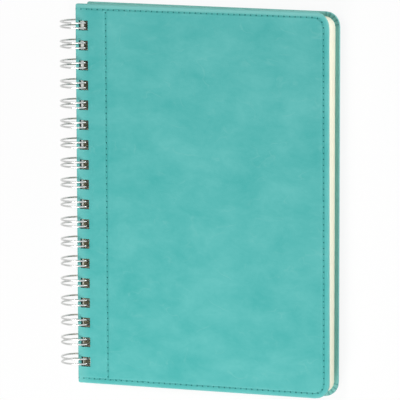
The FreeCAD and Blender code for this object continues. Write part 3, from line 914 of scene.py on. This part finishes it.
# %% Path of the wire
LOOP_AXIS_X = -81.85 * MM
LOOP_RADIUS = 11.195 * MM
STRAND_GAP = 3.2 * MM
ROOT_BEND = 1.2 * MM
ROOT_ANGLE = math.radians(-34.2)
TIP_ANGLE = math.radians(-11.2)
BEND_STEPS = 6
STRAND_STEPS = 60


def outward(angle):
    """Unit vectors from the loops' axis, at angles from +X toward +Z."""
    return np.stack([np.cos(angle), 0 * angle, np.sin(angle)], axis=-1)


def onward(angle):
    """Unit vectors along a loop, toward falling angles."""
    return np.stack([np.sin(angle), 0 * angle, -np.cos(angle)], axis=-1)


def hairpin():
    """Centre, direction and outward vector along one hairpin whose hole is at y = 0.

    In order: a quarter circle from the comb's back, the strand at +Y from the root's angle down
    round to the tip's, a half circle at the tip, the strand at -Y back round, a quarter circle,
    and the start of the next back.
    """
    up = np.array([0.0, 1.0, 0.0])
    root_out, root_on = outward(np.array(ROOT_ANGLE)), onward(np.array(ROOT_ANGLE))
    tip_out, tip_on = outward(np.array(TIP_ANGLE)), onward(np.array(TIP_ANGLE))
    quarter = np.linspace(0, math.pi / 2, BEND_STEPS + 1)[:, None]
    half = np.linspace(0, math.pi, 2 * BEND_STEPS + 1)[1:-1, None]
    sweep = np.linspace(ROOT_ANGLE, TIP_ANGLE - 2 * math.pi, STRAND_STEPS + 1)
    side = up * STRAND_GAP / 2
    root = root_out * LOOP_RADIUS
    strand = outward(sweep) * LOOP_RADIUS
    coming = root + side + up * ROOT_BEND
    coming = coming - ROOT_BEND * (root_on * np.cos(quarter) + up * np.sin(quarter))
    coming_way = root_on * np.sin(quarter) - up * np.cos(quarter)
    tip = tip_out * LOOP_RADIUS + STRAND_GAP / 2 * (up * np.cos(half) + tip_on * np.sin(half))
    tip_way = tip_on * np.cos(half) - up * np.sin(half)
    leaving = root - side - up * ROOT_BEND
    leaving = leaving + ROOT_BEND * (up * np.cos(quarter) - root_on * np.sin(quarter))
    leaving_way = -root_on * np.cos(quarter) - up * np.sin(quarter)
    stretches = [
        (coming[:-1], coming_way[:-1], root_out),
        (strand + side, onward(sweep), outward(sweep)),
        (tip, tip_way, tip_out),
        (strand[::-1] - side, -onward(sweep)[::-1], outward(sweep)[::-1]),
        (leaving[1:], leaving_way[1:], root_out),
    ]
    whole = [[np.broadcast_to(row, part[0].shape) for row in part] for part in stretches]
    return [np.concatenate(rows) for rows in zip(*whole)]


def wire_path():
    """The whole wire: the hairpin repeated for every hole, without a bend at its two ends."""
    centres, ways, outs = hairpin()
    rows = BOTTOM_Y + FIRST_HOLE + np.arange(HOLE_COUNT)[::-1] * HOLE_PITCH
    centres = centres[None] + np.stack([0 * rows, rows, 0 * rows], axis=-1)[:, None]
    kept = slice(BEND_STEPS, -BEND_STEPS)
    centres = centres.reshape(-1, 3)[kept] + (LOOP_AXIS_X, 0, MIDDLE_Z)
    return centres, np.tile(ways, (HOLE_COUNT, 1))[kept], np.tile(outs, (HOLE_COUNT, 1))[kept]


print(f"loop radius {LOOP_RADIUS / MM:.2f} mm, {len(hairpin()[0])} steps a hairpin")

# %% [markdown]
# The wire's surface is a circle of points round each step of its path, and smaller circles round
# off the two cut ends. All six new meshes are closed then, and a signed volume is a quick test of
# them. It adds up a small pyramid from the origin to each face, and comes out below zero if the
# faces look inward.

# %% Wire and volumes
WIRE_RADIUS = 0.6 * MM
WIRE_SIDES = 12
CUT_REACH = np.array([[0.35], [0.2]])
CUT_RADII = [0.2, 0.8]


def make_wire():
    """Circle of points about each step of the path: centre + r * (out * cos a + beside * sin a).

    Beyond each cut end two smaller circles make it round, the last one a fifth of the wire wide.
    """
    centres, ways, outs = wire_path()
    first = centres[:1] - ways[:1] * WIRE_RADIUS * CUT_REACH
    last = centres[-1:] + ways[-1:] * WIRE_RADIUS * CUT_REACH[::-1]
    centres = np.concatenate([first, centres, last])
    ways, outs = (np.pad(rows, ((2, 2), (0, 0)), mode="edge") for rows in (ways, outs))
    radius = np.full(len(centres), WIRE_RADIUS)
    radius[:2] *= CUT_RADII
    radius[-2:] *= CUT_RADII[::-1]
    angle = 2 * math.pi * np.arange(WIRE_SIDES) / WIRE_SIDES
    beside = np.cross(outs, ways)
    spokes = outs[:, None] * np.cos(angle)[:, None] + beside[:, None] * np.sin(angle)[:, None]
    points = (centres[:, None] + spokes * radius[:, None, None]).reshape(-1, 3)
    return mesh_object("binding_wire", points, closed_tube(len(centres), WIRE_SIDES))


def volume_of(piece):
    """Signed volume of a closed mesh in cubic centimetres."""
    shell = bmesh.new()
    shell.from_mesh(piece.data)
    volume = shell.calc_volume(signed=True)
    shell.free()
    return volume / (10 * MM) ** 3


binding_wire = make_wire()
for piece in (front_skin, back_skin, front_thread, back_thread, leaves, binding_wire):
    print(f"{piece.name}: {volume_of(piece):.2f} cm3")

# %% [markdown]
# Each new piece takes the place of one node of the frame and rides on that node's body, so that a
# cover's skin and thread move together. The boards and the linings keep their imported shape and
# only get a finish.

# %% Riding and replacing
SHARP_FROM = math.radians(50)
BODY_OF = {
    "front_skin": ("front_cover", "front_wrap", "faux_leather"),
    "back_skin": ("back_cover", "back_wrap", "faux_leather"),
    "front_thread": ("front_cover", "front_stitching", "thread"),
    "back_thread": ("back_cover", "back_stitching", "thread"),
    "leaves": ("root", "page_block", "paper"),
    "binding_wire": ("root", "wire_binding", "wire"),
}
for piece in (front_skin, back_skin, front_thread, back_thread, leaves, binding_wire):
    body, node, slot = BODY_OF[piece.name]
    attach(piece, body)
    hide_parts(node)
for piece in (front_skin, back_skin, leaves):
    piece.data.set_sharp_from_angle(angle=SHARP_FROM)
print("six pieces ride on", sorted({row[0] for row in BODY_OF.values()}))

# %% [markdown]
# Faux leather, paper and board all have soft clouds of lighter and darker colour and a fine grain.
# One node group makes both, from the object's own coordinates, so the pattern stays on the piece
# when a cover opens. Each material feeds it its own sizes and strengths. Where two numbers go with a
# mask, it is multiplied by the first and the second is added.

# %% Clouds and grain
CLOUD_CONTRAST = (2.6, -0.8)
CREASE_SIZE = 1.4
CREASE_CONTRAST = (-45.0, 1.0)
PATCH_SIZE = 2.2
PATCH_CONTRAST = (5.0, -2.4)


def group_with(name, inputs, outputs):
    """Empty node group and its inner inputs: a float where a value is given, else a vector."""
    group = bpy.data.node_groups.new(name, "ShaderNodeTree")
    for label, value in inputs.items():
        kind = "NodeSocketVector" if value is None else "NodeSocketFloat"
        socket = group.interface.new_socket(label, in_out="INPUT", socket_type=kind)
        if value is not None:
            socket.default_value = value
    for label in outputs:
        group.interface.new_socket(label, in_out="OUTPUT", socket_type="NodeSocketFloat")
    return group, add_node(group, "NodeGroupInput").outputs


def make_clouds():
    """Clouds, thin creases, grain and pits, all from 0 to 1, at sizes in cycles per metre.

    A crease is where a wandering noise passes through its middle value, so it is a thin line that
    never ends abruptly. A second noise leaves patches where the creases show.
    """
    names = ("Clouds", "Creases", "Grain", "Pits")
    inputs = {"Place": None, "Cloud Size": 60.0, "Grain Size": 900.0}
    group, given = group_with("clouds_and_grain", inputs, names)
    place, size, fine = given["Place"], given["Cloud Size"], given["Grain Size"]
    cloud = noise(group, place, size, Detail=6.0, Roughness=0.68, Distortion=0.2)
    line_size = math_node(group, "MULTIPLY", size, CREASE_SIZE)
    line = noise(group, place, line_size, Detail=2.0, Distortion=0.6)
    middle = math_node(group, "ABSOLUTE", math_node(group, "SUBTRACT", line, 0.5))
    thin = math_node(group, "MULTIPLY_ADD", middle, *CREASE_CONTRAST, clamp=True)
    patch = noise(group, place, math_node(group, "MULTIPLY", size, PATCH_SIZE), Detail=1.0)
    patch = math_node(group, "MULTIPLY_ADD", patch, *PATCH_CONTRAST, clamp=True)
    pits = add_node(group, "ShaderNodeTexVoronoi", {"Vector": place, "Scale": fine}, feature="SMOOTH_F1")
    results = (
        math_node(group, "MULTIPLY_ADD", cloud, *CLOUD_CONTRAST, clamp=True),
        math_node(group, "MULTIPLY", thin, patch),
        noise(group, place, fine, Detail=2.0, Roughness=0.6),
        pits.outputs["Distance"],
    )
    add_node(group, "NodeGroupOutput", dict(zip(names, results)))
    return group


clouds_group = make_clouds()


def clouds_on(tree, place, cloud_size, grain_size):
    """Outputs of the clouds group, placed in a material with that material's own sizes."""
    inputs = {"Place": place, "Cloud Size": cloud_size, "Grain Size": grain_size}
    return add_node(tree, "ShaderNodeGroup", inputs, node_tree=clouds_group).outputs


print("the group puts out", ", ".join(clouds_group.nodes["Group Output"].inputs.keys()[:4]))

# %% [markdown]
# A needle leaves a small hole between two stitches, and the row of stitches lies in a little
# shade. A hole this small costs too many faces as a shape, so it is a mask in the material that
# paints the shade in the hole and along the row. The seam's stored numbers make it easy: a hole
# lies wherever the count of stitches is whole.

# %% Needle holes
HOLE_FULL, HOLE_NONE = 0.28, 0.68
BAND_FULL, BAND_NONE = 0.2, 1.0


def make_needle_holes():
    """Masks of the holes and of the band along the row, by distances in millimetres."""
    names = ("Hole", "Band")
    inputs = {"Seam": None, "Pitch": STITCH_PITCH / MM}
    group, given = group_with("needle_holes", inputs, names)
    stitches, beside, _ = parts_of(group, given["Seam"])
    off = math_node(group, "SUBTRACT", stitches, math_node(group, "ROUND", stitches))
    along = math_node(group, "MULTIPLY", off, given["Pitch"])
    beside = math_node(group, "ABSOLUTE", beside)
    squares = [math_node(group, "MULTIPLY", length, length) for length in (along, beside)]
    distance = math_node(group, "SQRT", math_node(group, "ADD", *squares))
    masks = []
    for value, full, none in ((distance, HOLE_FULL, HOLE_NONE), (beside, BAND_FULL, BAND_NONE)):
        limits = {"Value": value, "From Min": full, "From Max": none, "To Min": 1.0, "To Max": 0.0}
        ramp = add_node(group, "ShaderNodeMapRange", limits, interpolation_type="SMOOTHSTEP")
        masks.append(ramp.outputs["Result"])
    add_node(group, "NodeGroupOutput", dict(zip(names, masks)))
    return group


needle_group = make_needle_holes()
print("groups:", ", ".join(group.name for group in bpy.data.node_groups))

# %% [markdown]
# The cover is soft faux leather in one even turquoise. What makes it look real is small: faint
# clouds where the colour is denser, a fine pebbled grain, needle holes and a seam that hold a little
# painted shade, a paler edge where hands rub it, and a paler painted sheen along the upper edge and
# the spine margin. The shader itself and its bump are made by one function that all finishes share,
# and what is the same all over goes to the shader's own sockets.

# %% Faux leather
TURQUOISE = srgb(91, 187, 183)
DEEP_TURQUOISE = srgb(62, 173, 169)
PALE_MARKS_AND_SHEEN = srgb(132, 203, 197)
NEEDLE_SHADE = srgb(16, 118, 116)
LIT_TURNED_IN = srgb(126, 192, 185)
CLOUD_STRETCH = (0.8, 1.25, 1.0)
LEATHER_SIZES = (42.0, 1400.0)
PLEAT_WAVES = 30.0
RUB_AND_SHEEN_SHARE, CREASE_SHARE, LIT_TURNED_SHARE = 0.65, 0.18, 0.8
BAND_SHADE, PLEAT_SHADE = 0.05, 0.5
PIT_HEIGHT, CREASE_HEIGHT, PLEAT_HEIGHT, HOLE_HEIGHT = 0.6, -0.8, 2.5, -3.0
LEATHER_ROUGHNESS = (0.2, 0.38)
LEATHER_BUMP = (0.5, 0.00008)
LEATHER_GLOSS = {"Specular IOR Level": 0.34}


def finish_material(material, color, roughness, height, bump, fixed):
    """Principled shader fed with colour, roughness and a bump, the rest fixed on its own sockets."""
    tree = material.node_tree
    strength, distance = bump
    relief = {"Strength": strength, "Distance": distance, "Height": height}
    normal = add_node(tree, "ShaderNodeBump", relief).outputs[0]
    inputs = {"Base Color": color, "Roughness": roughness, "Normal": normal, **fixed}
    shader = add_node(tree, "ShaderNodeBsdfPrincipled", inputs)
    add_node(tree, "ShaderNodeOutputMaterial", {"Surface": shader.outputs[0]})
    return material


def make_leather():
    """Turquoise faux leather with grain, clouds, needle holes and pleats in the turned corners."""
    material, tree = new_material("turquoise_faux_leather")
    stretch = {"Vector": place_on_piece(tree), "Scale": CLOUD_STRETCH}
    place = add_node(tree, "ShaderNodeMapping", stretch).outputs[0]
    clouds = clouds_on(tree, place, *LEATHER_SIZES)
    seams = []
    for name in ("border_seam", "spine_seam"):
        seam = {"Seam": stored_vector(tree, name)}
        seams.append(add_node(tree, "ShaderNodeGroup", seam, node_tree=needle_group).outputs)
    hole = math_node(tree, "MAXIMUM", seams[0]["Hole"], seams[1]["Hole"])
    band = math_node(tree, "MAXIMUM", seams[0]["Band"], seams[1]["Band"])
    turned, gathered, _ = parts_of(tree, stored_vector(tree, "corner_fan"))
    fold = math_node(tree, "SINE", math_node(tree, "MULTIPLY", turned, PLEAT_WAVES))
    pleats = math_node(tree, "MULTIPLY", fold, gathered)
    rubs_and_sheen, inner, _ = parts_of(tree, stored_vector(tree, "rub_and_sheen"))
    rub_and_sheen = math_node(tree, "MULTIPLY", rubs_and_sheen, RUB_AND_SHEEN_SHARE)
    crease = math_node(tree, "MULTIPLY", clouds["Creases"], CREASE_SHARE)
    shade = math_node(tree, "MULTIPLY", band, BAND_SHADE)
    # Painted shade in the folds of the corner pleats.
    folded = math_node(tree, "MULTIPLY", pleats, PLEAT_SHADE, clamp=True)
    dark = math_node(tree, "MAXIMUM", math_node(tree, "MAXIMUM", shade, hole), folded)
    color = mix_color(tree, clouds["Clouds"], DEEP_TURQUOISE, TURQUOISE)
    # Paler for wear at the edges, for painted sheen at the upper edge and the spine margin, and in the
    # creases.
    color = mix_color(tree, math_node(tree, "MAXIMUM", rub_and_sheen, crease), color, PALE_MARKS_AND_SHEEN)
    # Painted light: the inner faces turn a paler, greyer turquoise, the look of the lit overhang at the
    # head.
    color = mix_color(tree, math_node(tree, "MULTIPLY", inner, LIT_TURNED_SHARE), color, LIT_TURNED_IN)
    # Painted shade: needle holes, the band along each seam and the pleat folds darken toward
    # NEEDLE_SHADE.
    color = mix_color(tree, dark, color, NEEDLE_SHADE)
    roughness = math_node(tree, "MULTIPLY_ADD", clouds["Grain"], *LEATHER_ROUGHNESS)
    height = math_node(tree, "MULTIPLY_ADD", clouds["Pits"], PIT_HEIGHT, clouds["Grain"])
    for mask, rise in ((clouds["Creases"], CREASE_HEIGHT), (pleats, PLEAT_HEIGHT), (hole, HOLE_HEIGHT)):
        height = math_node(tree, "MULTIPLY_ADD", mask, rise, height)
    return finish_material(material, color, roughness, height, LEATHER_BUMP, LEATHER_GLOSS)


leather = make_leather()
for skin in (front_skin, back_skin):
    skin.data.materials.append(leather)
print("faux leather finished with", len(leather.node_tree.nodes), "nodes")

# %% [markdown]
# Sewing thread is two or three plies twisted together. The ridges run round it on a slant, and a
# sine of the length along the stitch plus the turn around it draws exactly that. The colour follows
# the sine too, with painted light on the ridges and painted shade in the grooves, and each stitch is
# painted a shade lighter than the leather, as light on thread that stands up into it.

# %% Thread finish
THREAD_SHADED = srgb(68, 170, 165)
THREAD_LIT = srgb(98, 198, 193)
TWISTS = 7.0
THREAD_ROUGHNESS = (0.05, 0.6)
THREAD_BUMP = (0.5, 0.00005)
THREAD_GLOSS = {"Specular IOR Level": 0.3}


def make_thread_finish():
    """Twisted thread: ridge height = sin(twists * millimetres along + angle around)."""
    material, tree = new_material("turquoise_thread")
    run, turn, _ = parts_of(tree, stored_vector(tree, "twist"))
    angle = math_node(tree, "MULTIPLY", turn, 2 * math.pi)
    ply = math_node(tree, "SINE", math_node(tree, "MULTIPLY_ADD", run, TWISTS, angle))
    factor = math_node(tree, "MULTIPLY_ADD", ply, 0.5, 0.5)
    # Painted light and shade: ridges of the plies lighter, grooves darker.
    color = mix_color(tree, factor, THREAD_SHADED, THREAD_LIT)
    roughness = math_node(tree, "MULTIPLY_ADD", ply, *THREAD_ROUGHNESS)
    return finish_material(material, color, roughness, ply, THREAD_BUMP, THREAD_GLOSS)


thread_finish = make_thread_finish()
for thread in (front_thread, back_thread):
    thread.data.materials.append(thread_finish)
print("thread finished")

# %% [markdown]
# Paper is warm white. Seen from the side the block is a pack of thin sheets, so its walls carry
# fine lines of painted shade between the sheets, level and a little uneven: a noise that is
# stretched flat. A mask keeps the lines off the faces of the leaves. The first leaves are painted a
# plainer white, as painted light where they show in the punched holes.

# %% Paper
CREAM = srgb(249, 247, 227)
LIGHT_CREAM = srgb(252, 250, 232)
LIT_WHITE_SHEET = srgb(248, 248, 244)
SHADE_BETWEEN_SHEETS = srgb(196, 188, 164)
SHEET_STRETCH = (12.0, 12.0, 3200.0)
SHEET_CONTRAST = (2.4, -0.7)
SHEET_SHARE, SHEET_HEIGHT = 0.25, -2.0
PAPER_SIZES = (30.0, 2500.0)
PAPER_ROUGHNESS = (0.1, 0.75)
PAPER_BUMP = (0.4, 0.00004)
PAPER_GLOSS = {"Specular IOR Level": 0.25}


def make_paper():
    """Warm white paper under first leaves painted whiter as light, with painted shade in lines between
    the sheets on the walls.
    """
    material, tree = new_material("cream_leaves")
    place = place_on_piece(tree)
    stretch = add_node(tree, "ShaderNodeMapping", {"Vector": place, "Scale": SHEET_STRETCH})
    sheets = noise(tree, stretch.outputs[0], 1.0, Detail=3.0)
    normal = parts_of(tree, add_node(tree, "ShaderNodeNewGeometry").outputs["Normal"])
    side = math_node(tree, "LESS_THAN", math_node(tree, "ABSOLUTE", normal[2]), 0.5)
    clouds = clouds_on(tree, place, *PAPER_SIZES)
    line = math_node(tree, "MULTIPLY_ADD", sheets, *SHEET_CONTRAST, clamp=True)
    line = math_node(tree, "MULTIPLY", line, side)
    first = math_node(tree, "GREATER_THAN", parts_of(tree, place)[2], float(ASKEW_FROM))
    color = mix_color(tree, clouds["Clouds"], CREAM, LIGHT_CREAM)
    # Painted light: the first leaves, seen in the holes, are whiter than the cream beneath.
    color = mix_color(tree, first, color, LIT_WHITE_SHEET)
    # Painted shade in the lines between the sheets on the walls.
    color = mix_color(tree, math_node(tree, "MULTIPLY", line, SHEET_SHARE), color, SHADE_BETWEEN_SHEETS)
    roughness = math_node(tree, "MULTIPLY_ADD", clouds["Grain"], *PAPER_ROUGHNESS)
    height = math_node(tree, "MULTIPLY_ADD", line, SHEET_HEIGHT, clouds["Grain"])
    return finish_material(material, color, roughness, height, PAPER_BUMP, PAPER_GLOSS)


leaves.data.materials.append(make_paper())
print("paper finished")

# %% [markdown]
# Three quiet finishes need no more than two close colours and a grain. The pressed board shows
# only in the walls of the punched holes, and its dark grey green is painted shade for those walls.
# The lining is a smooth grey green endpaper with faint fibres. The wire is coated steel, smooth
# metal that is faintly uneven along its length.

# %% Board, lining and wire
PLAIN_FINISHES = {
    "pressed_board_painted_shade": {
        # Painted shade: the board is darker than plain greyboard, as the hole walls lie in shade.
        "colors": (srgb(34, 50, 48), srgb(50, 72, 68)),
        "sizes": (700.0, 3500.0),
        "roughness": (0.1, 0.85),
        "bump": (0.5, 0.0001),
        "fixed": {},
    },
    "endpaper": {
        "colors": (srgb(214, 216, 202), srgb(224, 225, 212)),
        "sizes": (140.0, 1800.0),
        "roughness": (0.15, 0.65),
        "bump": (0.3, 0.00005),
        "fixed": {},
    },
    "silver_coated_wire": {
        "colors": (srgb(206, 207, 206), srgb(222, 223, 221)),
        "sizes": (260.0, 1500.0),
        "roughness": (0.16, 0.22),
        "bump": (0.15, 0.00003),
        "fixed": {"Metallic": 1.0},
    },
}
FINISH_OF_NODE = {
    "front_board": "pressed_board_painted_shade",
    "back_board": "pressed_board_painted_shade",
    "front_lining": "endpaper",
    "back_lining": "endpaper",
}


def make_plain_finish(name, colors, sizes, roughness, bump, fixed):
    """Two colours in clouds, and a roughness of grain * first + second."""
    material, tree = new_material(name)
    clouds = clouds_on(tree, place_on_piece(tree), *sizes)
    color = mix_color(tree, clouds["Clouds"], *colors)
    rough = math_node(tree, "MULTIPLY_ADD", clouds["Grain"], *roughness)
    return finish_material(material, color, rough, clouds["Grain"], bump, fixed)


plain_finishes = {name: make_plain_finish(name, **values) for name, values in PLAIN_FINISHES.items()}
binding_wire.data.materials.append(plain_finishes["silver_coated_wire"])
for name, finish in FINISH_OF_NODE.items():
    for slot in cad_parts[name].material_slots:
        slot.material = plain_finishes[finish]
print("materials:", ", ".join(sorted(material.name for material in bpy.data.materials)))

# %% [markdown]
# Blender mustn't change the notebook's size.

# %% Sizes kept
print("done")
